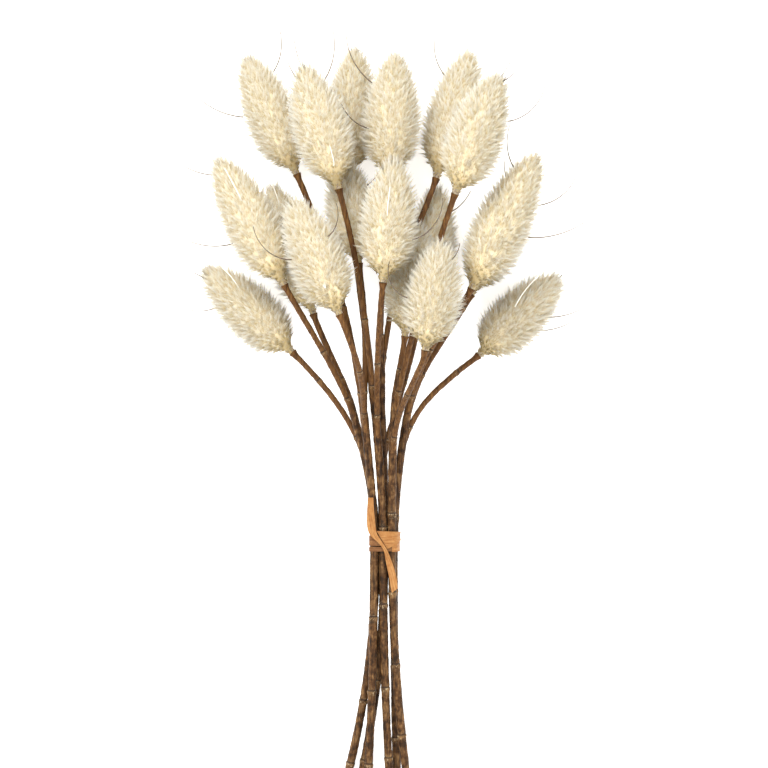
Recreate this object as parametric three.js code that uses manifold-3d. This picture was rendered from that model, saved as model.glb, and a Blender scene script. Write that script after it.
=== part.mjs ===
// A bunch of hare's tail grass lying on a table: six stalks that each fork into three, a soft oval
// seed head on every fork, and a strip of raffia tied round the middle.
// Millimetres, +Z up. The bunch lies along Y with its heads towards +Y, on its lowest heads and stalk ends.
import * as THREE from "three";
import { mergeVertices } from "three/addons/utils/BufferGeometryUtils.js";
import Module from "manifold-3d";

const wasm = await Module();
wasm.setup();

const FIT_GAP = 0.3; // left between pieces that touch

// ---- Stalks -------------------------------------------------------------------------------------

const STALK_RADIUS = 1.95;
const STALK_NODE_RADIUS = 2.1; // a stalk swells a little at its nodes, as a cane does
const STALK_SIDES = 8;
const STALK_STEP = 6.3; // distance between the rings of a stalk
const RINGS_PER_NODE = 6;

const BRANCH_RADIUS = 1.5;
const BRANCH_SIDES = 6;
const BRANCH_STEP = 8;
const CUP_RADIUS = 2.1; // a branch widens into a cup under its head

// The tie holds the stalks in two rows of three.
const TIE_HEIGHT = 20; // of the middle of the tie above the table
const ROW_SPACING = 4.4;
const COLUMN_SPACING = 4.25;
const ROW_SHIFT = 0.5; // the upper row sits this far to the left and the lower row to the right

const FOOT_Y = -120;
const TOP_Y = 66; // where a stalk ends and its topmost branch goes on
// How far from the tie the bend of a stalk is centred, below the tie and above it.
const LOWER_EASE = 62;
const UPPER_EASE = 25;

// Where along its upper half a stalk sends out each branch.
const FORK_SHARES = { low: 0.54, middle: 0.76, top: 0.97 };

// ---- Heads --------------------------------------------------------------------------------------

const HEAD_SIDES = 12;

// Share of a head's length from its neck, and the share of its greatest radius there.
const HEAD_PROFILE = [
  [0, 0.16],
  [0.07, 0.17],
  [0.12, 0.52],
  [0.2, 0.81],
  [0.3, 0.95],
  [0.42, 1],
  [0.56, 0.96],
  [0.7, 0.83],
  [0.84, 0.58],
  [0.94, 0.32],
];

// ---- The plants ---------------------------------------------------------------------------------

// foot and end: [x, z] of the stalk's cut end and of its upper end. row and column: its place in the tie.
// Each head: base and tip [x, y, z], greatest radius, and how stiffly its branch leaves the stalk and
// meets the head.
const PLANTS = [
  {
    foot: [-19.5, 2.2], row: -1, column: -1, end: [-15.5, 22],
    low: { base: [-44, 92, 14], tip: [-86, 132, 12.5], radius: 12.5, ease: [0.2, 0.55] },
    middle: { base: [-47.5, 124, 40], tip: [-79.5, 184.5, 37.5], radius: 13.5, ease: [0.37, 0.3] },
    top: { base: [-34, 110.5, 14], tip: [-54.5, 172, 12.5], radius: 12.5, ease: [0.5, 0.5] },
  },
  {
    foot: [-8, 7], row: 1, column: -1, end: [-10.5, 31],
    low: { base: [-12, 134.5, 31], tip: [-19.5, 184, 28.5], radius: 12, ease: [0.5, 0.4] },
    middle: { base: [-21, 109.5, 67.5], tip: [-42.5, 163, 67], radius: 13.5, ease: [0.49, 0.6] },
    top: { base: [-42, 178, 15], tip: [-66.5, 234.5, 12.5], radius: 12.5, ease: [0.26, 0.5] },
  },
  {
    foot: [3, 7], row: 1, column: 0, end: [-4.5, 31],
    low: { base: [-0.5, 124.5, 69], tip: [5, 182.5, 65], radius: 13.5, ease: [0.46, 0.2] },
    middle: { base: [-21.5, 169.5, 50], tip: [-38.5, 228, 49.5], radius: 13.5, ease: [0.38, 0.3] },
    top: { base: [-16.5, 177.5, 12], tip: [-14, 238, 13.5], radius: 12.5, ease: [0.15, 0.2] },
  },
  {
    foot: [-12.5, 2.2], row: -1, column: 0, end: [-1.5, 20],
    low: { base: [18, 114, 13], tip: [26, 170.5, 12.5], radius: 12.5, ease: [0.2, 0.43] },
    middle: { base: [25, 175.5, 24], tip: [41.5, 237, 9], radius: 12.5, ease: [0.6, 0.2] },
    top: { base: [2.5, 174, 38.5], tip: [5.5, 234, 41], radius: 13.5, ease: [0.35, 0.44] },
  },
  {
    foot: [12, 7], row: 1, column: 1, end: [4.5, 32],
    low: { base: [19.5, 92.5, 67.5], tip: [27.5, 143, 72], radius: 13, ease: [0.6, 0.32] },
    middle: { base: [33.5, 166.5, 68], tip: [54, 222.5, 70], radius: 13.5, ease: [0.2, 0.2] },
    top: { base: [10, 99.5, 37], tip: [15.5, 152.5, 38.5], radius: 12.5, ease: [0.33, 0.44] },
  },
  {
    foot: [6.5, 2.2], row: -1, column: 1, end: [11.5, 23],
    low: { base: [45.5, 90.5, 15], tip: [84, 127.5, 12.5], radius: 12.5, ease: [0.58, 0.23] },
    middle: { base: [41.5, 122, 52.5], tip: [72.5, 185.5, 52], radius: 13.5, ease: [0.6, 0.22] },
    top: { base: [42, 120, 14], tip: [69, 177.5, 12], radius: 12.5, ease: [0.27, 0.2] },
  },
];

// ---- Raffia -------------------------------------------------------------------------------------

const BAND_WIDTH = 10;
const BAND_THICKNESS = 0.6;
const KNOT_SIZE = [8, 7, 2.4];
const KNOT_PLACE = [-3.5, 0.5, 0.7]; // from the middle of the band's upper face
const TAIL_THICKNESS = 0.8;
const TAIL_SECTIONS = 6;

// ---- Materials ----------------------------------------------------------------------------------

const STALK_MATERIAL = new THREE.MeshStandardMaterial({ name: "stalk", color: 0x7a5c3e, roughness: 0.7 });
const HEAD_MATERIAL = new THREE.MeshStandardMaterial({ name: "seed_head", color: 0xeadfc4, roughness: 0.95 });
const RAFFIA_MATERIAL = new THREE.MeshStandardMaterial({ name: "raffia", color: 0xc98f52, roughness: 0.8 });

// ---- Helpers ------------------------------------------------------------------------------------

function toSolid(geometry) {
  const bare = geometry.clone();
  bare.deleteAttribute("normal");
  bare.deleteAttribute("uv");
  const merged = mergeVertices(bare);
  return new wasm.Manifold(new wasm.Mesh({
    numProp: 3,
    vertProperties: merged.getAttribute("position").array,
    triVerts: merged.getIndex().array,
  }));
}

function toGeometry(solid) {
  const mesh = solid.getMesh();
  const geometry = new THREE.BufferGeometry();
  geometry.setAttribute("position", new THREE.BufferAttribute(mesh.vertProperties, 3));
  geometry.setIndex(new THREE.BufferAttribute(mesh.triVerts, 1));
  geometry.computeVertexNormals();
  return geometry;
}

function joined(geometries) {
  return toGeometry(geometries.map(toSolid).reduce((whole, next) => whole.add(next)));
}

function named(name, geometry, material) {
  const mesh = new THREE.Mesh(geometry, material);
  mesh.name = name;
  return mesh;
}

function point([x, y, z]) {
  return new THREE.Vector3(x, y, z);
}

// A polygon of unit radius, with its corners on a circle.
function polygon(sides) {
  const corners = Array.from({ length: sides }, (_, corner) => {
    const angle = (2 * Math.PI * corner) / sides;
    return new THREE.Vector2(Math.cos(angle), Math.sin(angle));
  });
  return new THREE.Shape(corners);
}

// A closed tube along a curve. radiusAt gives the radius of each of its rings, counted from 0.
function tube(curve, sides, step, radiusAt) {
  const steps = Math.round(curve.getLength() / step);
  const settings = { steps, bevelEnabled: false, extrudePath: curve };
  const geometry = new THREE.ExtrudeGeometry(polygon(sides), settings);
  const centres = curve.getSpacedPoints(steps);
  const position = geometry.getAttribute("position");
  const corner = new THREE.Vector3();
  for (let i = 0; i < position.count; i++) {
    corner.fromBufferAttribute(position, i);
    const distances = centres.map((centre) => centre.distanceTo(corner));
    const ring = distances.indexOf(Math.min(...distances));
    corner.sub(centres[ring]).multiplyScalar(radiusAt(ring, steps)).add(centres[ring]);
    position.setXYZ(i, corner.x, corner.y, corner.z);
  }
  return geometry;
}

// ---- Pieces -------------------------------------------------------------------------------------

// The two halves of a stalk's middle line: both run straight through the tie, then bend away to their ends.
function stalkHalves({ foot, row, column, end }) {
  const tieX = column * COLUMN_SPACING - row * ROW_SHIFT;
  const tieZ = TIE_HEIGHT + (row * ROW_SPACING) / 2;
  const tie = new THREE.Vector3(tieX, 0, tieZ);
  const below = new THREE.Vector3(tieX, -LOWER_EASE, tieZ);
  const above = new THREE.Vector3(tieX, UPPER_EASE, tieZ);
  const lower = new THREE.QuadraticBezierCurve3(new THREE.Vector3(foot[0], FOOT_Y, foot[1]), below, tie);
  const upper = new THREE.QuadraticBezierCurve3(tie, above, new THREE.Vector3(end[0], TOP_Y, end[1]));
  return { lower, upper };
}

// The middle line of a branch: it leaves along the stalk and arrives along its head.
function branchLine(upper, share, head) {
  const start = upper.getPointAt(share);
  const base = point(head.base);
  const span = start.distanceTo(base);
  const leaving = upper.getTangentAt(share).multiplyScalar(span * head.ease[0]);
  const arriving = point(head.tip).sub(base).setLength(span * head.ease[1]);
  return new THREE.CubicBezierCurve3(start, leaving.add(start), base.clone().sub(arriving), base);
}

function branch(upper, share, head) {
  const line = branchLine(upper, share, head);
  return tube(line, BRANCH_SIDES, BRANCH_STEP, (ring, last) => (ring === last ? CUP_RADIUS : BRANCH_RADIUS));
}

function stalk(plant, firstNode) {
  const { lower, upper } = stalkHalves(plant);
  const line = new THREE.CurvePath();
  line.add(lower);
  line.add(upper);
  const radiusAt = (ring) => (ring % RINGS_PER_NODE === firstNode ? STALK_NODE_RADIUS : STALK_RADIUS);
  const stem = tube(line, STALK_SIDES, STALK_STEP, radiusAt);
  const branches = Object.entries(FORK_SHARES).map(([fork, share]) => branch(upper, share, plant[fork]));
  return joined([stem, ...branches]);
}

function seedHead({ base, tip, radius }) {
  const axis = point(tip).sub(point(base));
  const length = axis.length();
  const side = HEAD_PROFILE.map(([along, across]) => new THREE.Vector2(across * radius, along * length));
  const profile = [new THREE.Vector2(0, 0), ...side, new THREE.Vector2(0, length)];
  const geometry = new THREE.LatheGeometry(profile, HEAD_SIDES);
  const start = point(base).addScaledVector(axis.clone().normalize(), FIT_GAP);
  const turn = new THREE.Quaternion().setFromUnitVectors(new THREE.Vector3(0, 1, 0), axis.normalize());
  geometry.applyQuaternion(turn);
  geometry.translate(start.x, start.y, start.z);
  return geometry;
}

// A rectangle with rounded corners, centred on the origin.
function roundedRectangle(width, height, corner) {
  const [x, y] = [width / 2, height / 2];
  const shape = new THREE.Shape();
  shape.absarc(x - corner, y - corner, corner, 0, Math.PI / 2);
  shape.absarc(corner - x, y - corner, corner, Math.PI / 2, Math.PI);
  shape.absarc(corner - x, corner - y, corner, Math.PI, 1.5 * Math.PI);
  shape.absarc(x - corner, corner - y, corner, 1.5 * Math.PI, 2 * Math.PI);
  return shape;
}

// The band fits round the two rows of three stalks.
const BAND_INNER_WIDTH = 2 * (COLUMN_SPACING + ROW_SHIFT + STALK_NODE_RADIUS + FIT_GAP);
const BAND_INNER_HEIGHT = ROW_SPACING + 2 * (STALK_NODE_RADIUS + FIT_GAP);
const BAND_INNER_CORNER = STALK_NODE_RADIUS + FIT_GAP;
const BAND_TOP = TIE_HEIGHT + BAND_INNER_HEIGHT / 2 + BAND_THICKNESS;

function band() {
  const thick = 2 * BAND_THICKNESS;
  const outerCorner = BAND_INNER_CORNER + BAND_THICKNESS;
  const outline = roundedRectangle(BAND_INNER_WIDTH + thick, BAND_INNER_HEIGHT + thick, outerCorner);
  outline.holes.push(roundedRectangle(BAND_INNER_WIDTH, BAND_INNER_HEIGHT, BAND_INNER_CORNER));
  const settings = { depth: BAND_WIDTH, bevelEnabled: false, curveSegments: 3 };
  const geometry = new THREE.ExtrudeGeometry(outline, settings);
  geometry.translate(0, 0, -BAND_WIDTH / 2);
  geometry.rotateX(Math.PI / 2);
  geometry.translate(0, 0, TIE_HEIGHT);
  return geometry;
}

function knot() {
  const geometry = new THREE.SphereGeometry(0.5, 12, 8);
  geometry.scale(...KNOT_SIZE);
  geometry.translate(KNOT_PLACE[0], KNOT_PLACE[1], BAND_TOP + KNOT_PLACE[2]);
  return geometry;
}

// A flat strip along a curve, lying level across its width.
function strip(curve, width) {
  const geometry = new THREE.BoxGeometry(width, 1, TAIL_THICKNESS, 1, TAIL_SECTIONS, 1);
  const position = geometry.getAttribute("position");
  for (let i = 0; i < position.count; i++) {
    const middle = curve.getPointAt(position.getY(i) + 0.5);
    position.setXYZ(i, middle.x + position.getX(i), middle.y, middle.z + position.getZ(i));
  }
  return geometry;
}

function tail(width, ...places) {
  const middles = places.map(([x, y, rise]) => new THREE.Vector3(x, y, BAND_TOP + rise));
  return strip(new THREE.QuadraticBezierCurve3(...middles), width);
}

function raffiaTie() {
  const upTail = tail(3, [-5, 1, 0.2], [-6.5, 12, 0.9], [-6.2, 23, 2.6]);
  const downTail = tail(2.8, [4.8, -23, 0.4], [3, -14, 0.6], [-1, -3, 0.1]);
  return joined([band(), knot(), upTail, downTail]);
}

// ---- The bunch ----------------------------------------------------------------------------------

const bunch = new THREE.Group();
bunch.name = "hares_tail_grass_bunch";

PLANTS.forEach((plant, index) => {
  const number = index + 1;
  bunch.add(named(`stalk_${number}`, stalk(plant, index % RINGS_PER_NODE), STALK_MATERIAL));
  for (const fork of Object.keys(FORK_SHARES)) {
    bunch.add(named(`seed_head_${number}_${fork}`, seedHead(plant[fork]), HEAD_MATERIAL));
  }
});
bunch.add(named("raffia_tie", raffiaTie(), RAFFIA_MATERIAL));

// The lowest point lies on the table and the middle of the bunch over the origin.
const bounds = new THREE.Box3().setFromObject(bunch);
const middle = bounds.getCenter(new THREE.Vector3());
for (const mesh of bunch.children) {
  mesh.geometry.translate(-middle.x, -middle.y, -bounds.min.z);
}

export default bunch;
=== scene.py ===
"""A bunch of hare's tail grass with cream seed heads and brown cane-like stalks, tied with raffia, lying
on a pale floor. Lengths are in metres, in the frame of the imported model: +Z up, +Y towards the seed
heads."""
import math

import bpy
import numpy as np
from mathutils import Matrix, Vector


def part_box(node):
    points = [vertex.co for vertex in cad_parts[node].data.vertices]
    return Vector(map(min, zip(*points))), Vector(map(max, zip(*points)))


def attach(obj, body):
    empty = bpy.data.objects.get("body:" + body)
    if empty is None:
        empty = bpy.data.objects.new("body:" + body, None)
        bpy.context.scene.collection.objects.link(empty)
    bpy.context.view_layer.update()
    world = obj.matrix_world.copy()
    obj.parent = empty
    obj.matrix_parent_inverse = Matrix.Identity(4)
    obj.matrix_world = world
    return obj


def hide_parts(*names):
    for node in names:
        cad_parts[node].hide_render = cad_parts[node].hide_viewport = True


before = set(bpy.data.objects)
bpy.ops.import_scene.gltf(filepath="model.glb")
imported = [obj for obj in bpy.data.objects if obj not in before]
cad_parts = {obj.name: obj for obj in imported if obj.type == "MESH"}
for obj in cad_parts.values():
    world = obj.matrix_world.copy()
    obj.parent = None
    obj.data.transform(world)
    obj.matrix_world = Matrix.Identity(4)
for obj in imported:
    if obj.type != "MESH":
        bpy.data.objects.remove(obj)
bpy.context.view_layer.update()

MM = 0.001
LOWEST = 0.15 * MM  # everything lies on the floor, not in it
STALKS = range(1, 7)
FORKS = ("low", "middle", "top")
UP = np.array((0.0, 0.0, 1.0))


# ---- Small helpers ------------------------------------------------------------------------------


def linear(colour):
    """A colour written as an sRGB hex number, such as "e8dcc0", in the linear values that shaders take."""
    channels = [int(colour[i : i + 2], 16) / 255 for i in (0, 2, 4)]
    return tuple(c / 12.92 if c <= 0.04045 else ((c + 0.055) / 1.055) ** 2.4 for c in channels) + (1.0,)


def unit(vector):
    return vector / np.linalg.norm(vector, axis=-1, keepdims=True)


def corners_of(mesh):
    points = np.empty(len(mesh.vertices) * 3)
    mesh.vertices.foreach_get("co", points)
    return points.reshape(-1, 3)


def deselect_all():
    for thing in bpy.context.selected_objects:
        thing.select_set(False)


def make_active(thing):
    deselect_all()
    thing.select_set(True)
    bpy.context.view_layer.objects.active = thing


def apply_modifier(thing, kind, **settings):
    make_active(thing)
    modifier = thing.modifiers.new(kind.title(), kind)
    for setting, value in settings.items():
        setattr(modifier, setting, value)
    bpy.ops.object.modifier_apply(modifier=modifier.name)


def join(pieces, name):
    """Joins several objects into the first of them."""
    deselect_all()
    for piece in pieces:
        piece.select_set(True)
    bpy.context.view_layer.objects.active = pieces[0]
    bpy.ops.object.join()
    pieces[0].name = name
    pieces[0].data.name = name
    return pieces[0]


def new_object(name, points, faces, materials):
    mesh = bpy.data.meshes.new(name)
    mesh.from_pydata(points, [], faces)
    thing = bpy.data.objects.new(name, mesh)
    bpy.context.scene.collection.objects.link(thing)
    for material in materials:
        mesh.materials.append(material)
    return thing


def stand_for(thing, node):
    """Puts a finished piece in the place of its CAD node."""
    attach(thing, "root")
    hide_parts(node)


# ---- Materials ----------------------------------------------------------------------------------


def new_material(name):
    """An empty material, with its node tree and its surface shader."""
    material = bpy.data.materials.new(name)
    material.use_nodes = True
    return material, material.node_tree, material.node_tree.nodes["Principled BSDF"]


def add_node(tree, kind, settings, inputs):
    """Adds a shader node. An input given as the output of another node is linked, and any other is set.
    The setting "stops" holds the (place, hex colour) stops of a colour ramp."""
    node = tree.nodes.new(kind)
    for name, value in settings.items():
        if name != "stops":
            setattr(node, name, value)
            continue
        elements = node.color_ramp.elements
        while len(elements) < len(value):
            elements.new(0.5)
        for element, (place, colour) in zip(elements, value):
            element.position = place
            element.color = linear(colour)
    for name, value in inputs.items():
        if isinstance(value, bpy.types.NodeSocket):
            tree.links.new(value, node.inputs[name])
        else:
            node.inputs[name].default_value = value
    return node


# A colour mix node takes its factor and its two colours at these inputs, and gives the mixed colour at
# this output.
FACTOR = 0
FIRST = 6
SECOND = 7
MIXED = 2
MULTIPLY = {"data_type": "RGBA", "blend_type": "MULTIPLY"}
BLEND = {"data_type": "RGBA", "blend_type": "MIX"}


def bristle_material():
    """Bleached grass bristle: matt, soft and slightly see-through, golden at the root and near white at
    the tip. The UV map holds each tuft's own tone across and the place along the bristle upwards."""
    material, tree, shader = new_material("bleached_grass_bristle")
    uv = add_node(tree, "ShaderNodeUVMap", {"uv_map": "OFBake"}, {})
    split = add_node(tree, "ShaderNodeSeparateXYZ", {}, {"Vector": uv.outputs["UV"]})
    root_to_tip = [(0.0, "e3c48a"), (0.3, "f2deaf"), (0.6, "faf1d9"), (1.0, "fdf9ec")]
    along = add_node(tree, "ShaderNodeValToRGB", {"stops": root_to_tip}, {"Fac": split.outputs["Y"]})
    grey_to_white = [
        (0.0, "5e524a"), (0.02, "8a7c69"), (0.08, "b3a78c"),
        (0.3, "e8dfc9"), (0.6, "fefbf4"), (1.0, "ffffff"),
    ]
    tone = add_node(tree, "ShaderNodeValToRGB", {"stops": grey_to_white}, {"Fac": split.outputs["X"]})
    colour = add_node(tree, "ShaderNodeMix", MULTIPLY, {
        FACTOR: 1.0, FIRST: along.outputs["Color"], SECOND: tone.outputs["Color"],
    })
    tree.links.new(colour.outputs[MIXED], shader.inputs["Base Color"])
    shader.inputs["Roughness"].default_value = 0.8
    shader.inputs["Specular IOR Level"].default_value = 0.2
    shader.inputs["Subsurface Weight"].default_value = 0.5
    shader.inputs["Subsurface Radius"].default_value = (1.0, 0.9, 0.75)
    shader.inputs["Subsurface Scale"].default_value = 1.0 * MM
    return material


def husk_material():
    """Dry grass husk, the bare neck under a seed head: pale grey-beige and matt, with darker flecks 1 mm
    across."""
    material, tree, shader = new_material("dry_grass_husk")
    place = add_node(tree, "ShaderNodeTexCoord", {}, {})
    flecks = add_node(tree, "ShaderNodeTexNoise", {}, {
        "Vector": place.outputs["Object"], "Scale": 1100.0, "Detail": 3.0,
    })
    stops = [(0.36, "6b5a48"), (0.47, "8f8069"), (0.7, "b3a68c")]
    colour = add_node(tree, "ShaderNodeValToRGB", {"stops": stops}, {"Fac": flecks.outputs["Fac"]})
    tree.links.new(colour.outputs["Color"], shader.inputs["Base Color"])
    shader.inputs["Roughness"].default_value = 0.85
    return material


def bark_material():
    """Cane bark: olive brown and slightly waxy, streaked along the stem and blotched darker, with a dark
    groove at each node and pale flecks on the knuckle. Thin branches are smoother and warmer."""
    material, tree, shader = new_material("cane_bark")
    place = add_node(tree, "ShaderNodeTexCoord", {}, {}).outputs["Object"]
    # Streaks about 0.7 mm wide and 7 mm long, blotches about 4 mm across and flecks about 0.8 mm across.
    drawn_out = add_node(tree, "ShaderNodeMapping", {}, {"Vector": place, "Scale": (1.0, 0.1, 1.0)})
    streaks = add_node(tree, "ShaderNodeTexNoise", {}, {
        "Vector": drawn_out.outputs["Vector"], "Scale": 1100.0, "Detail": 4.0, "Roughness": 0.6,
    }).outputs["Fac"]
    blotches = add_node(tree, "ShaderNodeTexNoise", {}, {
        "Vector": place, "Scale": 230.0, "Detail": 4.0, "Roughness": 0.65,
    }).outputs["Fac"]
    specks = add_node(tree, "ShaderNodeTexNoise", {}, {
        "Vector": place, "Scale": 1300.0, "Detail": 2.0, "Roughness": 0.6,
    }).outputs["Fac"]
    wood_stops = [(0.3, "2c1e10"), (0.43, "4d361e"), (0.57, "6d4f2f"), (0.75, "94734a")]
    wood = add_node(tree, "ShaderNodeValToRGB", {"stops": wood_stops}, {"Fac": streaks})
    blotch_stops = [(0.38, "4a3828"), (0.48, "b39c84"), (0.58, "ffffff")]
    patches = add_node(tree, "ShaderNodeValToRGB", {"stops": blotch_stops}, {"Fac": blotches})
    mottled = add_node(tree, "ShaderNodeMix", MULTIPLY, {
        FACTOR: 0.8, FIRST: wood.outputs["Color"], SECOND: patches.outputs["Color"],
    })
    branch_stops = [(0.3, "3c2611"), (0.5, "593a1c"), (0.72, "7a562c")]
    smooth = add_node(tree, "ShaderNodeValToRGB", {"stops": branch_stops}, {"Fac": streaks})
    slender = add_node(tree, "ShaderNodeAttribute", {"attribute_name": "slender"}, {})
    plain = add_node(tree, "ShaderNodeMix", BLEND, {
        FACTOR: slender.outputs["Fac"], FIRST: mottled.outputs[MIXED], SECOND: smooth.outputs["Color"],
    })
    knuckle = add_node(tree, "ShaderNodeAttribute", {"attribute_name": "knuckle"}, {})
    # The bark on the knuckle under each node is drawn lighter, mixed in at most to 0.6.
    knuckle_stops = [(0.42, "583f24"), (0.55, "785a38"), (0.7, "9c7d54")]
    knuckle_colour = add_node(tree, "ShaderNodeValToRGB", {"stops": knuckle_stops}, {"Fac": blotches})
    knuckle_share = add_node(tree, "ShaderNodeMath", {"operation": "MULTIPLY"}, {
        0: knuckle.outputs["Fac"], 1: 0.6,
    })
    raised = add_node(tree, "ShaderNodeMix", BLEND, {
        FACTOR: knuckle_share.outputs["Value"], FIRST: plain.outputs[MIXED], SECOND: knuckle_colour.outputs["Color"],
    })
    fleck_stops = [(0.56, "000000"), (0.62, "ffffff")]
    fleck = add_node(tree, "ShaderNodeValToRGB", {"stops": fleck_stops}, {"Fac": specks})
    fleck_here = add_node(tree, "ShaderNodeMath", {"operation": "MULTIPLY"}, {
        0: knuckle.outputs["Fac"], 1: fleck.outputs["Color"],
    })
    flecked = add_node(tree, "ShaderNodeMix", BLEND, {
        FACTOR: fleck_here.outputs["Value"], FIRST: raised.outputs[MIXED], SECOND: linear("a39274"),
    })
    groove = add_node(tree, "ShaderNodeAttribute", {"attribute_name": "groove"}, {})
    bark = add_node(tree, "ShaderNodeMix", BLEND, {
        FACTOR: groove.outputs["Fac"], FIRST: flecked.outputs[MIXED], SECOND: linear("23160e"),
    })
    tree.links.new(bark.outputs[MIXED], shader.inputs["Base Color"])
    shader.inputs["Roughness"].default_value = 0.55
    shader.inputs["Specular IOR Level"].default_value = 0.15
    bump = add_node(tree, "ShaderNodeBump", {}, {"Height": streaks, "Strength": 0.5, "Distance": 0.2 * MM})
    tree.links.new(bump.outputs["Normal"], shader.inputs["Normal"])
    return material


def cut_wood_material():
    """Cut end grain of a dry stem: pale and matt, with brown pores."""
    material, tree, shader = new_material("cut_stem_end")
    place = add_node(tree, "ShaderNodeTexCoord", {}, {})
    pores = add_node(tree, "ShaderNodeTexNoise", {}, {
        "Vector": place.outputs["Object"], "Scale": 2500.0, "Detail": 2.0,
    })
    stops = [(0.35, "7b5d3e"), (0.55, "b89a6f"), (0.75, "d2ba90")]
    colour = add_node(tree, "ShaderNodeValToRGB", {"stops": stops}, {"Fac": pores.outputs["Fac"]})
    tree.links.new(colour.outputs["Color"], shader.inputs["Base Color"])
    shader.inputs["Roughness"].default_value = 0.85
    return material


# Fibre colours of the raffia, and of its narrow wraps, which lie under the broad one and are darkened as
# painted shade.
RAFFIA_FIBRES = [(0.3, "6d4622"), (0.42, "926336"), (0.56, "a87945"), (0.75, "bd915f")]
SHADED_FIBRES = [(0.3, "4c311a"), (0.42, "6b4728"), (0.56, "805935"), (0.75, "946c45")]


def raffia_material(name, fibre_stops):
    """Dyed raffia: a dry tan palm strip, satin, with fibres 0.3 mm wide that run along it.
    The strip's UV map holds millimetres across and along."""
    material, tree, shader = new_material(name)
    uv = add_node(tree, "ShaderNodeUVMap", {"uv_map": "strip"}, {}).outputs["UV"]
    drawn_out = add_node(tree, "ShaderNodeMapping", {}, {"Vector": uv, "Scale": (3.0, 0.12, 1.0)})
    fibres = add_node(tree, "ShaderNodeTexNoise", {}, {
        "Vector": drawn_out.outputs["Vector"], "Scale": 1.0, "Detail": 4.0, "Roughness": 0.6,
    }).outputs["Fac"]
    patches = add_node(tree, "ShaderNodeTexNoise", {}, {"Vector": uv, "Scale": 0.35, "Detail": 2.0})
    strand = add_node(tree, "ShaderNodeValToRGB", {"stops": fibre_stops}, {"Fac": fibres})
    faded_stops = [(0.35, "dcc2a0"), (0.6, "ffffff")]
    faded = add_node(tree, "ShaderNodeValToRGB", {"stops": faded_stops}, {"Fac": patches.outputs["Fac"]})
    colour = add_node(tree, "ShaderNodeMix", MULTIPLY, {
        FACTOR: 0.6, FIRST: strand.outputs["Color"], SECOND: faded.outputs["Color"],
    })
    tree.links.new(colour.outputs[MIXED], shader.inputs["Base Color"])
    shader.inputs["Roughness"].default_value = 0.6
    shader.inputs["Specular IOR Level"].default_value = 0.2
    bump = add_node(tree, "ShaderNodeBump", {}, {"Height": fibres, "Strength": 0.6, "Distance": 0.25 * MM})
    tree.links.new(bump.outputs["Normal"], shader.inputs["Normal"])
    return material


def floor_material():
    """The white acrylic top of a light table: matt, and faintly lit from below."""
    material, tree, shader = new_material("white_acrylic")
    shader.inputs["Emission Color"].default_value = (1, 1, 1, 1)
    shader.inputs["Emission Strength"].default_value = 0.5
    shader.inputs["Base Color"].default_value = linear("f7f7f6")
    shader.inputs["Roughness"].default_value = 0.9
    shader.inputs["Specular IOR Level"].default_value = 0.1
    return material


# ---- Where the CAD solids lie -------------------------------------------------------------------

NECK_FACE = 0.2 * MM  # corners of a head this near to its lowest one are on the flat end of its neck


def head_axis(node):
    """The middle of a seed head's neck, its tip and its greatest radius."""
    points = np.unique(corners_of(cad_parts[node].data).round(6), axis=0)
    centre = points.mean(axis=0)
    direction = np.linalg.svd(points - centre)[2][0]
    direction *= np.sign(direction[1])
    along = (points - centre) @ direction
    base = points[along < along.min() + NECK_FACE].mean(axis=0)
    tip = points[along.argmax()]
    direction = unit(tip - base)
    offset = (points - base) - np.outer((points - base) @ direction, direction)
    return base, tip, np.linalg.norm(offset, axis=1).max()


class StalkSolid:
    """A CAD stalk, which can be cut by upright planes across the bunch to find the middles of its tubes."""

    def __init__(self, node):
        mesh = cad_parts[node].data
        self.points, same = np.unique(corners_of(mesh).round(6), axis=0, return_inverse=True)
        same = same.ravel()
        triangles = [[same[v] for v in face.vertices] for face in mesh.polygons]
        self.triangles = np.array([t for t in triangles if len(set(t)) == 3])
        self.foot_y = self.points[:, 1].min()

    def sections(self, y):
        """The middle and the girth of each outline in which the plane at y cuts the solid."""
        heights = self.points[:, 1] - y
        above = heights > 0
        sides = above[self.triangles].sum(axis=1)
        segments = []
        for triangle in self.triangles[(sides > 0) & (sides < 3)]:
            ends = {}
            for a, b in ((0, 1), (1, 2), (2, 0)):
                i, j = sorted((triangle[a], triangle[b]))
                if above[i] != above[j]:
                    share = heights[i] / (heights[i] - heights[j])
                    ends[(i, j)] = self.points[i] + share * (self.points[j] - self.points[i])
            segments.append(ends)
        outlines = []
        for ends in segments:
            touching = [outline for outline in outlines if outline["edges"] & ends.keys()]
            merged = {"edges": set(ends), "pieces": [tuple(ends.values())]}
            for outline in touching:
                merged["edges"] |= outline["edges"]
                merged["pieces"] += outline["pieces"]
                outlines.remove(outline)
            outlines.append(merged)
        found = []
        for outline in outlines:
            starts = np.array([piece[0] for piece in outline["pieces"]])
            stops = np.array([piece[1] for piece in outline["pieces"]])
            lengths = np.linalg.norm(stops - starts, axis=1)
            middle = ((starts + stops) / 2 * lengths[:, None]).sum(axis=0) / lengths.sum()
            found.append((middle, lengths.sum()))
        return found


SECTION_STEP = 2.5 * MM
FIRST_SECTION = 1.5 * MM  # below a head's neck
LAST_SECTION = 0.5 * MM  # above a stalk's foot
LARGEST_SINGLE_GIRTH = 14.5 * MM  # an outline longer than this is two tubes that run together
SMOOTHING = 4  # sections on each side that a middle line is evened over


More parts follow.
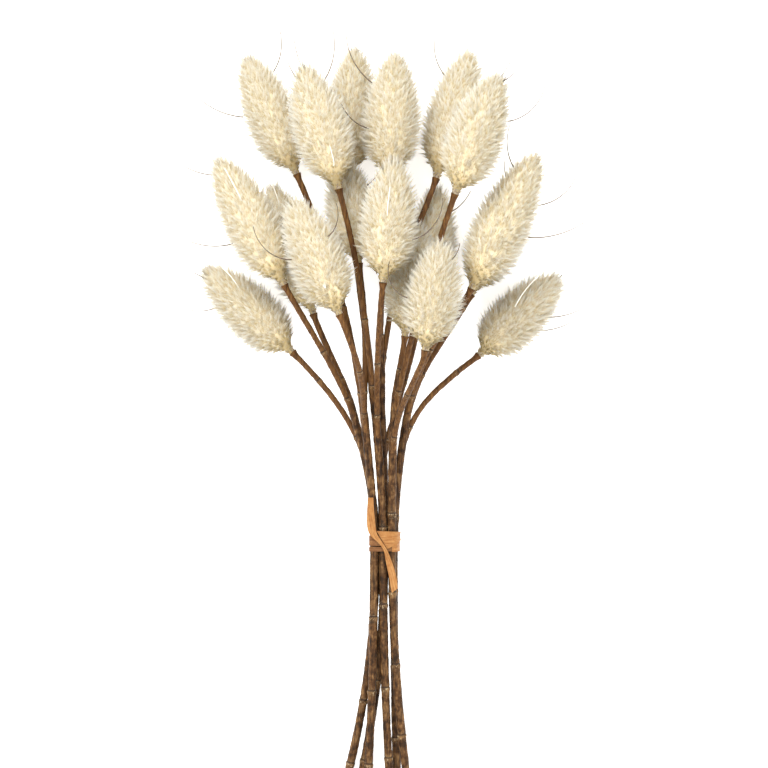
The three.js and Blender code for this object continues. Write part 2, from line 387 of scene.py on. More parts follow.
def middle_line(solid, base):
    """The smooth line from a stalk's foot to the neck of one of its heads, as points a section apart."""
    line = [base]
    last = base
    step = np.zeros(3)
    for y in np.arange(base[1] - FIRST_SECTION, solid.foot_y + LAST_SECTION, -SECTION_STEP):
        middle, girth = min(solid.sections(y), key=lambda found: np.linalg.norm(found[0] - last - step))
        step = middle - last
        last = middle
        if girth < LARGEST_SINGLE_GIRTH:
            line.append(middle)
    line.append(line[-1] + (line[-1] - line[-2]) / SECTION_STEP * (line[-1][1] - solid.foot_y))
    line = np.array(line)[::-1]
    levels = np.linspace(line[0, 1], line[-1, 1], int((line[-1, 1] - line[0, 1]) / SECTION_STEP) + 1)
    even = np.stack([np.interp(levels, line[:, 1], line[:, k]) for k in range(3)], axis=1)
    smooth = even.copy()
    for i in range(len(even)):
        reach = min(SMOOTHING, i, len(even) - 1 - i)
        smooth[i] = even[i - reach : i + reach + 1].mean(axis=0)
    return smooth


def travelled(line):
    """The distance of each point of a line from its start, along the line."""
    return np.concatenate([[0], np.cumsum(np.linalg.norm(np.diff(line, axis=0), axis=1))])


def at_places(line, places):
    """The points of a line that lie at given distances along it."""
    along = travelled(line)
    return np.stack([np.interp(places, along, line[:, k]) for k in range(line.shape[1])], axis=1)


def swept(points, radii, sides):
    """A closed round solid along a line of points, with its own radius at each."""
    curve = bpy.data.curves.new("swept", "CURVE")
    curve.dimensions = "3D"
    curve.bevel_depth = 1.0
    curve.bevel_resolution = (sides - 4) // 2
    curve.use_fill_caps = True
    spline = curve.splines.new("POLY")
    spline.points.add(len(points) - 1)
    spline.points.foreach_set("co", np.column_stack([points, np.ones(len(points))]).ravel())
    spline.points.foreach_set("radius", radii)
    thing = bpy.data.objects.new("swept", curve)
    bpy.context.scene.collection.objects.link(thing)
    make_active(thing)
    bpy.ops.object.convert(target="MESH")
    return bpy.context.active_object


# ---- Stalks -------------------------------------------------------------------------------------

STALK_RADIUS = 1.98 * MM
STALK_SIDES = 18
BRANCH_RADIUS = 1.38 * MM
BRANCH_SIDES = 14
CUP_RADIUS = 2.1 * MM
CUP_LENGTH = 3.5 * MM
CUP_FLARE = 1.6  # the power by which a cup widens towards its rim
RING_STEP = 1.3 * MM
FINE_RING_STEP = 0.35 * MM  # near a node
JOINT_SPACING = 37 * MM
KNUCKLE_LENGTH = 3.4 * MM
KNUCKLE_SWELL = 0.15  # of the radius, times these three:
BULGE = 0.5  # the round swelling below a node
COLLAR = 0.7  # the thickening right under it
LIP = 0.45  # the thickening right above it
GROOVE_WIDTH = 0.4 * MM
GROOVE_DEPTH = 0.08  # of the radius
BRANCH_START = 10 * MM  # how deep in its stalk a branch begins
FORK_DISTANCE = 0.9 * MM  # a branch counts as parted from its stalk where their middles are this far apart
SLENDER = 0.9  # how far a branch has the smooth bark of thin wood
THINNING_START = 4 * MM  # past its middle fork, a stalk thins to a branch
THINNING_LENGTH = 14 * MM
BARK_CHANGE = 10 * MM  # the stretch over which its bark turns smooth
WOBBLE = 0.04  # of a stalk's radius
WOBBLE_LENGTH = 17 * MM
LOWER_JOINTS = 4  # nodes below the forks
JOINT_SHIFT = 3  # most that a node is out of its even place, in millimetres
FORK_JOINT = 12 * MM  # from where a stalk thins to the next node
# The least and the greatest distance, in millimetres, from a stalk's foot to its first node, from where it
# thins to its last node, from a fork to a branch's first node, and from there to the branch's second.
FIRST_JOINT = (10, 30)
LAST_JOINT = (48, 60)
FIRST_BRANCH_JOINT = (5, 9)
SECOND_BRANCH_JOINT = (26, 40)
CUT_DEPTH = 0.3 * MM  # faces this near to a stalk's foot, and that look along it, are its cut end
CUT_FACING = 0.8
UNEVEN_LENGTH = 2.2 * MM
UNEVEN_HEIGHT = 0.45 * MM


def swelling(distance):
    """How much a stem is thicker at a distance above a node: a knuckle below it and a lip above it."""
    below = np.clip(-distance / KNUCKLE_LENGTH, 0, 1)
    above = np.clip(distance / KNUCKLE_LENGTH, 0, 1)
    bulge = np.sin(np.pi * np.sqrt(below)) ** 2 * BULGE
    collar = (1 - below) ** 2 * COLLAR
    lip = (1 - above) ** 3 * LIP
    return np.where(distance < 0, bulge + collar, lip)


def ring_places(length, nodes):
    """Distances along a stem of its rings: close together round each node and wide apart between nodes."""
    places = [0.0]
    while places[-1] < length:
        nearest = min(abs(places[-1] - node) for node in nodes)
        places.append(places[-1] + (FINE_RING_STEP if nearest < KNUCKLE_LENGTH else RING_STEP))
    places[-1] = length
    return np.array(places)


def limb(line, nodes, radius_at, slender_at, sides):
    """A stem along a line, with a knuckle and a groove at each of its nodes (distances along it)."""
    length = travelled(line)[-1]
    places = ring_places(length, nodes)
    points = at_places(line, places)
    radii = radius_at(places, length)
    knuckle = np.zeros(len(places))
    groove = np.zeros(len(places))
    for node in nodes:
        distance = places - node
        dent = np.exp(-((distance / GROOVE_WIDTH) ** 2))
        radii = radii * (1 + KNUCKLE_SWELL * swelling(distance)) * (1 - GROOVE_DEPTH * dent)
        groove = np.maximum(groove, dent)
        knuckle = np.maximum(knuckle, np.clip(swelling(distance), 0, 1))
    thing = swept(points, radii, sides)
    # Each corner takes the values of the ring that it is on.
    corners = corners_of(thing.data)
    ring = np.linalg.norm(corners[:, None] - points[None], axis=2).argmin(axis=1)
    for name, values in (("knuckle", knuckle), ("groove", groove), ("slender", slender_at(places))):
        attribute = thing.data.attributes.new(name, "FLOAT", "POINT")
        attribute.data.foreach_set("value", values[ring].astype(np.float32))
    return thing


def cup(radii, places, length):
    """Widens the last stretch of a branch into the cup that holds its head."""
    share = np.clip((places - (length - CUP_LENGTH)) / CUP_LENGTH, 0, 1)
    return radii + (CUP_RADIUS - BRANCH_RADIUS) * share**CUP_FLARE


def side_branch(line, main, random):
    """A branch from inside its stalk to its head, and how far along the bunch it parts from the stalk."""
    stalk_beside = np.stack([np.interp(line[:, 1], main[:, 1], main[:, k]) for k in range(3)], axis=1)
    parted = int(np.argmax(np.linalg.norm(line - stalk_beside, axis=1) > FORK_DISTANCE))
    own = line[max(0, parted - int(BRANCH_START / SECTION_STEP)):]
    first = BRANCH_START + random.uniform(*FIRST_BRANCH_JOINT) * MM
    nodes = [first, first + random.uniform(*SECOND_BRANCH_JOINT) * MM]
    piece = limb(
        own, nodes,
        lambda places, length: cup(np.full(len(places), BRANCH_RADIUS), places, length),
        lambda places: np.full(len(places), SLENDER), BRANCH_SIDES,
    )
    return piece, line[parted, 1]


def main_stem(main, fork_y, number, random):
    """The stem from the cut end to the topmost head. It thins to a branch above its middle fork."""
    thins_at = np.interp(fork_y + THINNING_START, main[:, 1], travelled(main))

    def radius_at(places, length):
        share = np.clip((places - thins_at) / THINNING_LENGTH, 0, 1)
        wobble = 1 + WOBBLE * np.sin(places / WOBBLE_LENGTH + number)
        return cup(STALK_RADIUS * wobble + (BRANCH_RADIUS - STALK_RADIUS) * share, places, length)

    def slender_at(places):
        return np.clip((places - thins_at) / BARK_CHANGE, 0, SLENDER)

    first = random.uniform(*FIRST_JOINT) * MM
    shifts = random.uniform(-JOINT_SHIFT, JOINT_SHIFT, LOWER_JOINTS) * MM
    nodes = list(first + JOINT_SPACING * np.arange(LOWER_JOINTS) + shifts)
    nodes += [thins_at + FORK_JOINT, thins_at + random.uniform(*LAST_JOINT) * MM]
    return limb(main, nodes, radius_at, slender_at, STALK_SIDES)


def stalk_piece(number, bark, end_grain, random):
    """A stalk with its three branches."""
    name = f"stalk_{number}"
    solid = StalkSolid(name)
    lines = {fork: middle_line(solid, heads[f"seed_head_{number}_{fork}"][0]) for fork in FORKS}
    low, low_y = side_branch(lines["low"], lines["top"], random)
    middle, middle_y = side_branch(lines["middle"], lines["top"], random)
    piece = join([low, middle, main_stem(lines["top"], middle_y, number, random)], f"cane_stalk_{number}")
    piece.data.materials.clear()
    piece.data.materials.append(bark)
    piece.data.materials.append(end_grain)
    roughen(piece, number)
    keep_off_floor(piece)
    for face in piece.data.polygons:
        cut = face.center.y < solid.foot_y + CUT_DEPTH and abs(face.normal.y) > CUT_FACING
        face.use_smooth = not cut
        face.material_index = int(cut)
    stand_for(piece, name)


def keep_off_floor(piece):
    points = corners_of(piece.data)
    points[:, 2] = np.maximum(points[:, 2], LOWEST)
    piece.data.vertices.foreach_set("co", points.ravel())
    piece.data.update()


def roughen(piece, number):
    """Gives bark its slight unevenness."""
    texture = bpy.data.textures.new(f"bark_unevenness_{number}", "CLOUDS")
    texture.noise_scale = UNEVEN_LENGTH
    texture.noise_depth = 2
    apply_modifier(
        piece, "DISPLACE", texture=texture, texture_coords="LOCAL", strength=UNEVEN_HEIGHT, mid_level=0.5,
    )
    bpy.data.textures.remove(texture)


# ---- Seed heads ---------------------------------------------------------------------------------

TUFTS_PER_HEAD = 560
TUFT_KINDS = 12
TUFT_LENGTH = 6.0 * MM
TUFT_LENGTHS = (0.85, 1.12)  # of TUFT_LENGTH
HAIRS_PER_TUFT = 20
HAIR_RADIUS = 0.12 * MM
HAIR_RADII = (0.8, 1.25)  # of HAIR_RADIUS
LOOSE_HAIRS = 9  # of each tuft, which stand loosely round it and fill the gaps to the next
# Of the loose and of the other hairs of a tuft, in tuft lengths: how wide they are spread at their roots and
# how far their tips are out of place.
LOOSE_SPREAD = 0.42
CLOSE_SPREAD = 0.19
LOOSE_WANDER = 0.2
CLOSE_WANDER = 0.03
LOOSE_LEAN = 0.55  # how far a loose hair leans over towards the head's tip, in tuft lengths
LOOSE_HEIGHTS = (0.35, 0.72)
CLOSE_HEIGHT = 1.26  # of the hair in the middle of a tuft, which is its point
CLOSE_DROP = 0.45  # how much shorter a hair at the tuft's rim is
CLOSE_GATHER = 0.15  # how much of its roots' spread a tuft keeps at its point
CORE_SHARE = 0.77  # of the CAD solid's radius, from where the bristles start
CORE_SIDES = 20
GOLDEN_ANGLE = math.pi * (3 - math.sqrt(5))
NECK_END = 0.02  # share of a head's length below which its neck is bare
LAST_TUFT = 0.97  # share of a head's length above which no tuft starts
END_TUFTS = 0.16  # added to the girth, so that a head's narrow ends are covered too
# How unevenly tufts stand: along the head, round it, in their lean, in their aim and in their tone.
SHARE_JITTER = 0.006
TURN_JITTER = 0.07
LEAN_JITTER = 0.08
AIM_JITTER = 0.06
TONE_JITTER = 0.1
TONE_RANGE = (0.08, 0.97)
ROOT_PLACE = 0.02  # along a bristle, as its UV map holds it
TIP_PLACE = 0.98
# A tuft takes the light as if it faced outwards, turned this much towards the head's tip and upwards.
SOFT_TIPWARDS = 0.5
SOFT_UPWARDS = 0.5
SOFT_JITTER = 0.2

# Each of these four tables holds shares of a head's length with the value there. The first is the radius of
# the spine under the bristles, of its greatest one.
CORE_OUTLINE = [
    (0.0, 0.17), (0.04, 0.17), (0.07, 0.24), (0.12, 0.5), (0.2, 0.8), (0.3, 0.94), (0.42, 1.0),
    (0.56, 0.96), (0.7, 0.82), (0.84, 0.56), (0.93, 0.3), (0.97, 0.08),
]
# How far a tuft leans from straight outwards towards the head's tip, in degrees.
TUFT_LEAN = [(NECK_END, 45), (0.12, 5), (0.3, 18), (0.5, 33), (0.85, 56), (LAST_TUFT, 82)]
# The length of a tuft, of TUFT_LENGTH.
TUFT_GROWTH = [(NECK_END, 0.26), (0.07, 0.42), (0.12, 0.68), (0.25, 1.0), (1.0, 1.0)]
# How light the bristles are: grey-beige round the neck and pale above it.
BRISTLE_TONE = [(NECK_END, 0.07), (0.1, 0.16), (0.22, 0.62)]


def looked_up(table, share):
    places, values = zip(*table)
    return np.interp(share, places, values)


def core_radius(share):
    return looked_up(CORE_OUTLINE, share) * CORE_SHARE


def tuft_kinds(random):
    """A few tufts that stand on the origin along +Z, a unit high: the roots and the tips of their hairs. Most
    hairs of a tuft draw together to a point. Its loose ones are shorter, and lean over towards +X."""
    roots = []
    tips = []
    loose = np.arange(HAIRS_PER_TUFT) < LOOSE_HAIRS
    for _ in range(TUFT_KINDS):
        angle = random.uniform(0, 2 * math.pi, HAIRS_PER_TUFT)
        spread = np.sqrt(random.uniform(0, 1, HAIRS_PER_TUFT))
        round_foot = np.column_stack([np.cos(angle), np.sin(angle)]) * spread[:, None]
        foot = round_foot * np.where(loose, LOOSE_SPREAD, CLOSE_SPREAD)[:, None]
        reach = np.where(loose, LOOSE_WANDER, CLOSE_WANDER)[:, None]
        wander = random.normal(0, 1, (HAIRS_PER_TUFT, 2)) * reach
        top = foot * np.where(loose, 1.0, CLOSE_GATHER)[:, None] + wander
        top[:, 0] += np.where(loose, LOOSE_LEAN, 0)
        loose_height = random.uniform(*LOOSE_HEIGHTS, HAIRS_PER_TUFT)
        height = np.where(loose, loose_height, CLOSE_HEIGHT - CLOSE_DROP * spread)
        roots.append(np.column_stack([foot, np.zeros(HAIRS_PER_TUFT)]))
        tips.append(np.column_stack([top, height]))
    return np.array(roots), np.array(tips)


class HeadFrame:
    """Where a seed head lies: its neck, its axis and the two directions across it, +X-wards and upwards."""

    def __init__(self, node):
        self.base, tip, self.radius = heads[node]
        self.length = np.linalg.norm(tip - self.base)
        self.axis = (tip - self.base) / self.length
        self.side = unit(np.cross(self.axis, UP))
        self.front = np.cross(self.side, self.axis)

    def outward(self, angle):
        angle = np.asarray(angle)[..., None]
        return np.cos(angle) * self.side + np.sin(angle) * self.front

    def on_core(self, share, angle):
        """The point of the spine's surface at a share of the length and an angle round the axis."""
        share = np.asarray(share)[..., None]
        middle = self.base + self.axis * share * self.length
        return middle + self.outward(angle) * core_radius(share) * self.radius


def tufts_of(head, random):
    """Where each tuft of a head stands, which way it points, which way is outwards there, its length and its
    tone."""
    # Tufts are spread evenly over the surface: as many at each place along as the girth there asks for.
    shares = np.linspace(NECK_END, LAST_TUFT, 400)
    crowd = np.cumsum(core_radius(shares) + END_TUFTS)
    index = np.arange(TUFTS_PER_HEAD) + 0.5
    share = np.interp(index / TUFTS_PER_HEAD * crowd[-1], crowd, shares)
    share = np.clip(share + random.normal(0, SHARE_JITTER, TUFTS_PER_HEAD), NECK_END, LAST_TUFT)
    angle = index * GOLDEN_ANGLE + random.normal(0, TURN_JITTER, TUFTS_PER_HEAD)
    outward = head.outward(angle)
    lean = np.radians(looked_up(TUFT_LEAN, share))
    lean = (lean + random.normal(0, LEAN_JITTER, TUFTS_PER_HEAD))[:, None]
    direction = outward * np.cos(lean) + head.axis * np.sin(lean)
    direction = unit(direction + random.normal(0, AIM_JITTER, direction.shape))
    lengths = TUFT_LENGTH * looked_up(TUFT_GROWTH, share) * random.uniform(*TUFT_LENGTHS, TUFTS_PER_HEAD)
    tone = looked_up(BRISTLE_TONE, share) + random.normal(0, TONE_JITTER, TUFTS_PER_HEAD)
    tone = np.clip(tone, *TONE_RANGE)
    return head.on_core(share, angle), direction, outward, lengths, tone


def head_hairs(head, kinds, bristle, random):
    """All the hairs of a head, each a slim closed spike."""
    places, direction, outward, lengths, tone = tufts_of(head, random)
    tipwards = unit(np.cross(np.cross(direction, head.axis), direction))
    axes = np.stack([tipwards, np.cross(direction, tipwards), direction], axis=1)
    kind = random.integers(0, TUFT_KINDS, TUFTS_PER_HEAD)
    size = lengths[:, None, None]
    roots, tips = (places[:, None] + np.einsum("thi,tij->thj", part[kind], axes) * size for part in kinds)
    along = unit(tips - roots)
    one = unit(np.cross(along, unit(random.normal(0, 1, along.shape))))
    two = np.cross(along, one)
    thick = HAIR_RADIUS * random.uniform(*HAIR_RADII, along.shape[:2])[..., None]
    turns = (0, 2 * math.pi / 3, 4 * math.pi / 3)
    corners = [roots + thick * (math.cos(turn) * one + math.sin(turn) * two) for turn in turns]
    points = np.stack(corners + [tips], axis=2).reshape(-1, 3)
    points[:, 2] = np.maximum(points[:, 2], LOWEST)
    hairs = TUFTS_PER_HEAD * HAIRS_PER_TUFT
    spike = np.array([(0, 1, 3), (1, 2, 3), (2, 0, 3), (2, 1, 0)])
    faces = (spike[None] + 4 * np.arange(hairs)[:, None, None]).reshape(-1, 3)
    thing = new_object("hairs", points, faces.tolist(), [bristle])
    along_hair = np.tile([ROOT_PLACE, ROOT_PLACE, ROOT_PLACE, TIP_PLACE], hairs)
    set_uv(thing, np.column_stack([np.repeat(tone, 4 * HAIRS_PER_TUFT), along_hair]))
    # A tuft takes the light as one soft body: its hairs share the head's outward direction, a little turned.
    turned = outward + SOFT_TIPWARDS * head.axis + SOFT_UPWARDS * UP
    soft = unit(turned + random.normal(0, SOFT_JITTER, outward.shape))
    keep_normals(thing, np.repeat(soft, 4 * HAIRS_PER_TUFT, axis=0))
    return thing


def keep_normals(thing, normals):
    """Notes the direction in which each corner takes the light, for when the pieces of a head are joined."""
    attribute = thing.data.attributes.new("soft_normal", "FLOAT_VECTOR", "POINT")
    attribute.data.foreach_set("vector", normals.ravel().astype(np.float32))


def own_normals(thing):
    normals = np.empty(len(thing.data.vertices) * 3)
    thing.data.vertices.foreach_get("normal", normals)
    return normals


def use_kept_normals(thing):
    mesh = thing.data
    normals = np.empty(len(mesh.vertices) * 3, np.float32)
    mesh.attributes["soft_normal"].data.foreach_get("vector", normals)
    mesh.attributes.remove(mesh.attributes["soft_normal"])
    mesh.polygons.foreach_set("use_smooth", np.ones(len(mesh.polygons), bool))
    mesh.normals_split_custom_set_from_vertices(normals.reshape(-1, 3))


def set_uv(thing, uv):
    """Gives each corner of a mesh its tone and its place along a bristle."""
    loops = np.empty(len(thing.data.loops), np.int32)
    thing.data.loops.foreach_get("vertex_index", loops)
    thing.data.uv_layers.new(name="OFBake").data.foreach_set("uv", uv[loops].ravel().astype(np.float32))


def head_core(head, husk, bristle):
    """The bare neck and the spine under the bristles."""
    shares = np.array([share for share, _ in CORE_OUTLINE])
    points = head.base + head.axis * shares[:, None] * head.length
    thing = swept(points, core_radius(shares) * head.radius, CORE_SIDES)
    thing.data.materials.append(husk)
    thing.data.materials.append(bristle)
    for face in thing.data.polygons:
        share = (np.array(face.center) - head.base) @ head.axis / head.length
        face.material_index = int(share > NECK_END)
    corner_share = (corners_of(thing.data) - head.base) @ head.axis / head.length
    halfway = np.full(len(corner_share), 0.5)
    set_uv(thing, np.column_stack([looked_up(BRISTLE_TONE, corner_share), halfway]))
    keep_normals(thing, own_normals(thing))
    return thing


# ---- Awns ---------------------------------------------------------------------------------------

AWN_RADIUS = 0.3 * MM
AWN_TAPER = 0.4  # how much thinner an awn is at its tip, of its radius
AWN_SIDES = 4
AWN_SECTIONS = 10
AWN_PLACE = 0.9  # an awn has the colour of a bristle this far along
SHADED_AWN = 0.0  # the tones of awns beside a head, darkened as painted shade, and of awns over it, in the light
PALE_AWN = 0.95
BESIDE = 0.7  # an awn is beside its head, not over it, where the cosine of its turn is greater

# Long fine bristles that stand out of a head. Of each: the share of the head's length where it leaves, the
# side that it leaves on (degrees round the axis from +X, so that 90 is upwards), its length in millimetres,
# and its angles away from the axis at its root and at its tip, in degrees. A negative angle leans back over
# the axis.
AWNS = {
    "seed_head_1_low": [(0.93, 150, 9, 30, 10), (0.66, 60, 21, 35, -15), (0.7, 215, 19, 75, 42)],
    "seed_head_1_middle": [(0.9, 185, 20, 60, 27), (0.62, 85, 20, 25, -20), (0.42, 200, 30, 80, 37)],
    "seed_head_1_top": [(0.8, 80, 14, 20, -20)],
    "seed_head_2_low": [(0.7, 20, 18, 70, 22)],
    "seed_head_2_middle": [(0.62, 40, 21, 85, 12), (0.3, 95, 13, 140, 60), (0.55, 150, 30, 80, -8)],
    "seed_head_2_top": [(0.55, 180, 38, 65, 12), (0.78, 5, 31, 60, -3)],
    "seed_head_3_low": [(0.35, 25, 30, 80, -3), (0.5, 95, 16, 30, -20)],
    "seed_head_3_middle": [(0.82, 10, 30, 50, 2), (0.2, 85, 17, 120, -20), (0.9, 150, 11, 35, 0)],
    "seed_head_3_top": [(0.55, 175, 42, 55, 7)],
    "seed_head_4_low": [(0.8, 30, 18, 65, 22)],
    "seed_head_4_middle": [(0.76, 185, 25, 55, 2), (0.72, 0, 28, 55, 2)],
    "seed_head_4_top": [(0.74, 175, 31, 60, 7), (0.95, 60, 11, 15, -15), (0.4, 150, 22, 85, 32)],
    "seed_head_5_low": [(0.45, 170, 25, 85, -8), (0.85, 20, 10, 40, 0)],
    "seed_head_5_middle": [(0.95, 20, 10, 50, 20), (0.66, 0, 30, 65, -8)],
    "seed_head_5_top": [(0.8, 170, 15, 60, 22)],
    "seed_head_6_low": [(0.5, 115, 24, 50, -5), (0.66, -20, 22, 50, 15), (0.5, -30, 22, 55, 20)],
    "seed_head_6_middle": [(0.84, 160, 25, 60, 7), (0.68, 0, 28, 60, -3), (0.46, -5, 36, 70, 27)],
    "seed_head_6_top": [(0.85, 150, 15, 60, 22)],
}


def awn(head, share, turn, length, root_angle, tip_angle, bristle):
    """A fine bristle that bends evenly from its root angle to its tip angle."""
    angle = math.radians(turn)
    places = np.linspace(0, 1, AWN_SECTIONS)
    away = np.radians(root_angle + (tip_angle - root_angle) * places)[:, None]
    steps = (np.cos(away) * head.axis + np.sin(away) * head.outward(angle)) * length * MM / AWN_SECTIONS
    points = head.on_core(share, angle) + np.cumsum(steps, axis=0)
    points[:, 2] = np.maximum(points[:, 2], LOWEST + AWN_RADIUS)
    thing = swept(points, AWN_RADIUS * (1 - AWN_TAPER * places), AWN_SIDES)
    thing.data.materials.append(bristle)
    # The awns that stand out beside a head take a darker tone than those that lie over it: painted shade.
    tone = SHADED_AWN if abs(math.cos(angle)) > BESIDE else PALE_AWN
    set_uv(thing, np.tile([tone, AWN_PLACE], (len(thing.data.vertices), 1)))
    keep_normals(thing, own_normals(thing))
    return thing


def seed_head_piece(node, bristle, husk, kinds, random):
    head = HeadFrame(node)
    parts = [head_core(head, husk, bristle), head_hairs(head, kinds, bristle, random)]
    parts += [awn(head, *values, bristle) for values in AWNS[node]]
    piece = join(parts, node.replace("seed_head", "bristle_head"))
    use_kept_normals(piece)
    stand_for(piece, node)


# ---- Raffia -------------------------------------------------------------------------------------

STRIP_THICKNESS = 0.35 * MM
LAYER_RISE = 0.45 * MM  # from each layer of the wrap to the next
LAYERS = 4
STRIP_COLUMNS = 5
SHARP_EDGE = math.radians(40)
WRAP_GAP = 0.15 * MM  # between the stalks and the first wrap
LOOP_CORNERS = 72
LEAD = 12 * MM
FOLD_TOP = -3.6 * MM  # the fold's two corners, from the middle of the tie
FOLD_FOOT = 1.6 * MM
UNDERSIDE = 0.62  # share of the way round at which the broad wraps end, out of sight
TAIL_ROWS = 40
TAIL_SMOOTHING = 3
END_SLANT = 0.9 * MM  # of the cut at the tail's lower end
SLANT_SHARES = (0.2, 0.6, 1.0)  # of END_SLANT, in the tail's last rows

# The upper and the lower edge of each wrap: heights along the bunch in millimetres from the tie's middle, at
# places spread evenly along the strip.
UPPER_BAND = ((3.9, 3.6, 4.0, 3.9), (-1.1, -0.7, -0.9, -1.1))
LOWER_BAND = ((-1.5, -1.8, -1.5, -1.5), (-3.6, -3.3, -3.8, -3.6))
BROAD_BAND = ((3.5, 3.5), (-3.9, -3.7, -3.6))
FOLDED_BAND = ((6.2, 5.8, 5.4, 5.2), (-2.4, 1.4, 1.2, -1.0))

# x, y, z and width in millimetres, from the tie's middle at the top of the wraps.
TAIL_COURSE = [
    (-6.4, 22.3, 1.2, 2.7), (-6.5, 16, 0.3, 3.4), (-6.2, 9, -0.1, 4.2), (-5.6, 5.2, 0.3, 3.8),
    (-4, 3.4, 0.6, 2.4), (-1.6, 0.6, 0.7, 1.5), (0.6, -2.4, 0.6, 1.4), (1.5, -5.5, 0.1, 2.2),
    (2.9, -10.5, 0.0, 3.2), (4.3, -16, 0.1, 3.5), (5.2, -22.5, 0.3, 3.2),
]


def taut_loop(centres, reach):
    """The outline of a strip drawn tight round stems: points (x, z) clockwise, from the middle of the upper
    side."""
    turns = math.pi / 2 - 2 * math.pi * (np.arange(LOOP_CORNERS) + 0.5) / LOOP_CORNERS
    directions = np.column_stack([np.cos(turns), np.sin(turns)])
    nearest = (centres @ directions.T).argmax(axis=0)
    return centres[nearest] + reach * directions


def ribbon(edges, raffia):
    """A flat strip between two edges, given as lists of as many points. Seen from its face, with its start
    at the top, the first edge is on the left of it."""
    rows = len(edges[0])
    deselect_all()
    bpy.ops.mesh.primitive_grid_add(x_subdivisions=STRIP_COLUMNS - 1, y_subdivisions=rows - 1, size=2)
    thing = bpy.context.active_object
    mesh = thing.data
    grid = corners_of(mesh)
    across = (grid[:, 0] + 1) / 2
    row = np.rint((grid[:, 1] + 1) / 2 * (rows - 1)).astype(int)
    points = edges[0][row] * (1 - across)[:, None] + edges[1][row] * across[:, None]
    mesh.vertices.foreach_set("co", points.ravel())
    width = np.linalg.norm(edges[1] - edges[0], axis=1)
    along = travelled((edges[0] + edges[1]) / 2)
    loops = np.empty(len(mesh.loops), np.int32)
    mesh.loops.foreach_get("vertex_index", loops)
    uv = np.stack([(across * width[row])[loops], along[row][loops]], axis=1) / MM
    while mesh.uv_layers:
        mesh.uv_layers.remove(mesh.uv_layers[0])
    mesh.uv_layers.new(name="strip").data.foreach_set("uv", uv.ravel().astype(np.float32))
    mesh.update()
    mesh.materials.append(raffia)
    apply_modifier(thing, "SOLIDIFY", thickness=STRIP_THICKNESS, offset=1.0, use_even_offset=False)
    make_active(thing)
    bpy.ops.object.shade_smooth_by_angle(angle=SHARP_EDGE)
    return thing


def wrap(loop, start, stop, band, tie_y, raffia):
    """A strip round the stalks. start and stop hold how far along the loop its upper and its lower edge begin
    and end, and band holds the edges' heights."""
    edges = []
    shares = np.linspace(0, 1, LOOP_CORNERS)
    for begin, end, heights in zip(start, stop, band):
        around = at_places(loop, begin + (end - begin) * shares)
        height = tie_y + np.interp(shares, np.linspace(0, 1, len(heights)), heights) * MM
        edges.append(np.column_stack([around[:, 0], height, around[:, 1]]))
    return ribbon(edges, raffia)


def with_lead(loop):
    """The same loop with a level stretch before its start, for a strip that begins left of the middle."""
    return np.vstack([loop[:1] - np.array([[LEAD, 0]]), loop])


def tail_strip(course, tie, raffia):
    """The long strip with the two loose ends."""
    course = np.array(course) * MM
    along = travelled(course[:, :2])
    places = np.linspace(0, along[-1], TAIL_ROWS)
    smooth = np.stack([np.interp(places, along, course[:, k]) for k in range(4)], axis=1)
    for _ in range(TAIL_SMOOTHING):
        smooth[1:-1] = (smooth[:-2] + 2 * smooth[1:-1] + smooth[2:]) / 4
    heading = unit(np.gradient(smooth[:, :2], axis=0))
    left = np.column_stack([heading[:, 1] * -1, heading[:, 0], np.zeros(TAIL_ROWS)])
    middle = tie + smooth[:, :3]
    half = smooth[:, 3:] / 2
    slant = np.zeros((TAIL_ROWS, 1))
    slant[-len(SLANT_SHARES):, 0] = END_SLANT * np.array(SLANT_SHARES)
    slanted = np.column_stack([heading, np.zeros(TAIL_ROWS)]) * slant
    return ribbon([middle + left * half - slanted, middle - left * half + slanted], raffia)


def raffia_piece(raffia, shaded_raffia):
    """Two narrow wraps, a broad one folded over them, and a strip tied across with its ends up and down."""
    box_low, box_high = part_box("raffia_tie")
    tie_y = (box_low[1] + box_high[1]) / 2
    sections = [StalkSolid(f"stalk_{number}").sections(tie_y)[0] for number in STALKS]
    centres = np.array([(middle[0], middle[2]) for middle, _ in sections])
    loops = []
    for layer in range(LAYERS):
        loop = taut_loop(centres, STALK_RADIUS + WRAP_GAP + layer * LAYER_RISE)
        loops.append(np.vstack([loop, loop[:1]]))
    tie = np.array([centres[:, 0].mean(), tie_y, loops[-1][0, 1]])
    # Distances along a loop from the middle of the upper side.
    whole = travelled(loops[0])[-1]
    middle = tie[0] - loops[1][0, 0]
    broad_start = max(middle + FOLD_FOOT, 0)
    under = whole * UNDERSIDE
    fold = (LEAD + middle + FOLD_TOP, LEAD + middle + FOLD_FOOT)
    pieces = [
        # The two narrow wraps take the raffia darkened with painted shade.
        wrap(loops[0], (0, 0), (whole, whole), UPPER_BAND, tie_y, shaded_raffia),
        wrap(loops[0], (0, 0), (whole, whole), LOWER_BAND, tie_y, shaded_raffia),
        wrap(loops[1], (broad_start, broad_start), (under, under), BROAD_BAND, tie_y, raffia),
        wrap(with_lead(loops[2]), fold, (LEAD + under, LEAD + under), FOLDED_BAND, tie_y, raffia),
        tail_strip(TAIL_COURSE, tie, raffia),
    ]
    stand_for(join(pieces, "raffia_strip"), "raffia_tie")


# ---- Scene --------------------------------------------------------------------------------------

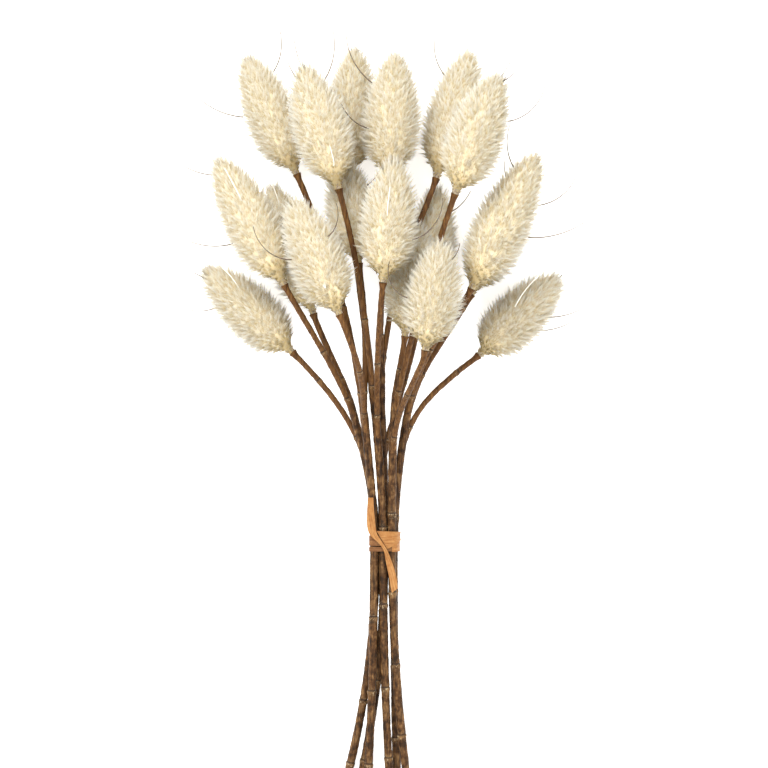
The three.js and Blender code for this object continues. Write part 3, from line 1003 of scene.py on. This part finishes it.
VIEW_WIDTH = 368.6 * MM
VIEW_CENTRE = Vector((0.0009, 0.0181, 0.03))
LENS = 250
SENSOR = 36
FLOOR_SIZE = 12
DAYLIGHT = 1.65
SEED = 11


def add_camera():
    data = bpy.data.cameras.new("camera")
    data.lens = LENS
    data.sensor_width = SENSOR
    distance = VIEW_WIDTH * LENS / SENSOR
    camera = bpy.data.objects.new("camera", data)
    camera.location = VIEW_CENTRE + Vector((0, 0, distance))
    data.clip_end = 10
    bpy.context.scene.collection.objects.link(camera)
    bpy.context.scene.camera = camera


def add_area_light(name, place, size, watts):
    data = bpy.data.lights.new(name, "AREA")
    data.shape = "DISK"
    data.size = size
    data.energy = watts
    light = bpy.data.objects.new(name, data)
    light.location = place
    light.rotation_euler = (-Vector(place)).to_track_quat("-Z", "Y").to_euler()
    bpy.context.scene.collection.objects.link(light)


def add_studio():
    deselect_all()
    bpy.ops.mesh.primitive_plane_add(size=FLOOR_SIZE, location=(0, 0, 0))
    floor = bpy.context.active_object
    floor.name = "floor"
    floor.data.materials.append(floor_material())
    add_area_light("key", (-0.45, 0.9, 1.6), 1.0, 22)
    add_area_light("fill", (1.2, -0.4, 1.2), 1.8, 3)
    world = bpy.data.worlds.new("white_studio")
    world.use_nodes = True
    background = world.node_tree.nodes["Background"]
    background.inputs["Color"].default_value = (1, 1, 1, 1)
    background.inputs["Strength"].default_value = DAYLIGHT
    bpy.context.scene.world = world
    bpy.context.scene.view_settings.view_transform = "Standard"


heads = {f"seed_head_{n}_{fork}": head_axis(f"seed_head_{n}_{fork}") for n in STALKS for fork in FORKS}
draw = np.random.default_rng(SEED)
bristle = bristle_material()
husk = husk_material()
bark = bark_material()
end_grain = cut_wood_material()

for number in STALKS:
    stalk_piece(number, bark, end_grain, draw)
kinds = tuft_kinds(draw)
for node in heads:
    seed_head_piece(node, bristle, husk, kinds, draw)
raffia_piece(raffia_material("dyed_raffia", RAFFIA_FIBRES), raffia_material("shaded_raffia", SHADED_FIBRES))

add_camera()
add_studio()
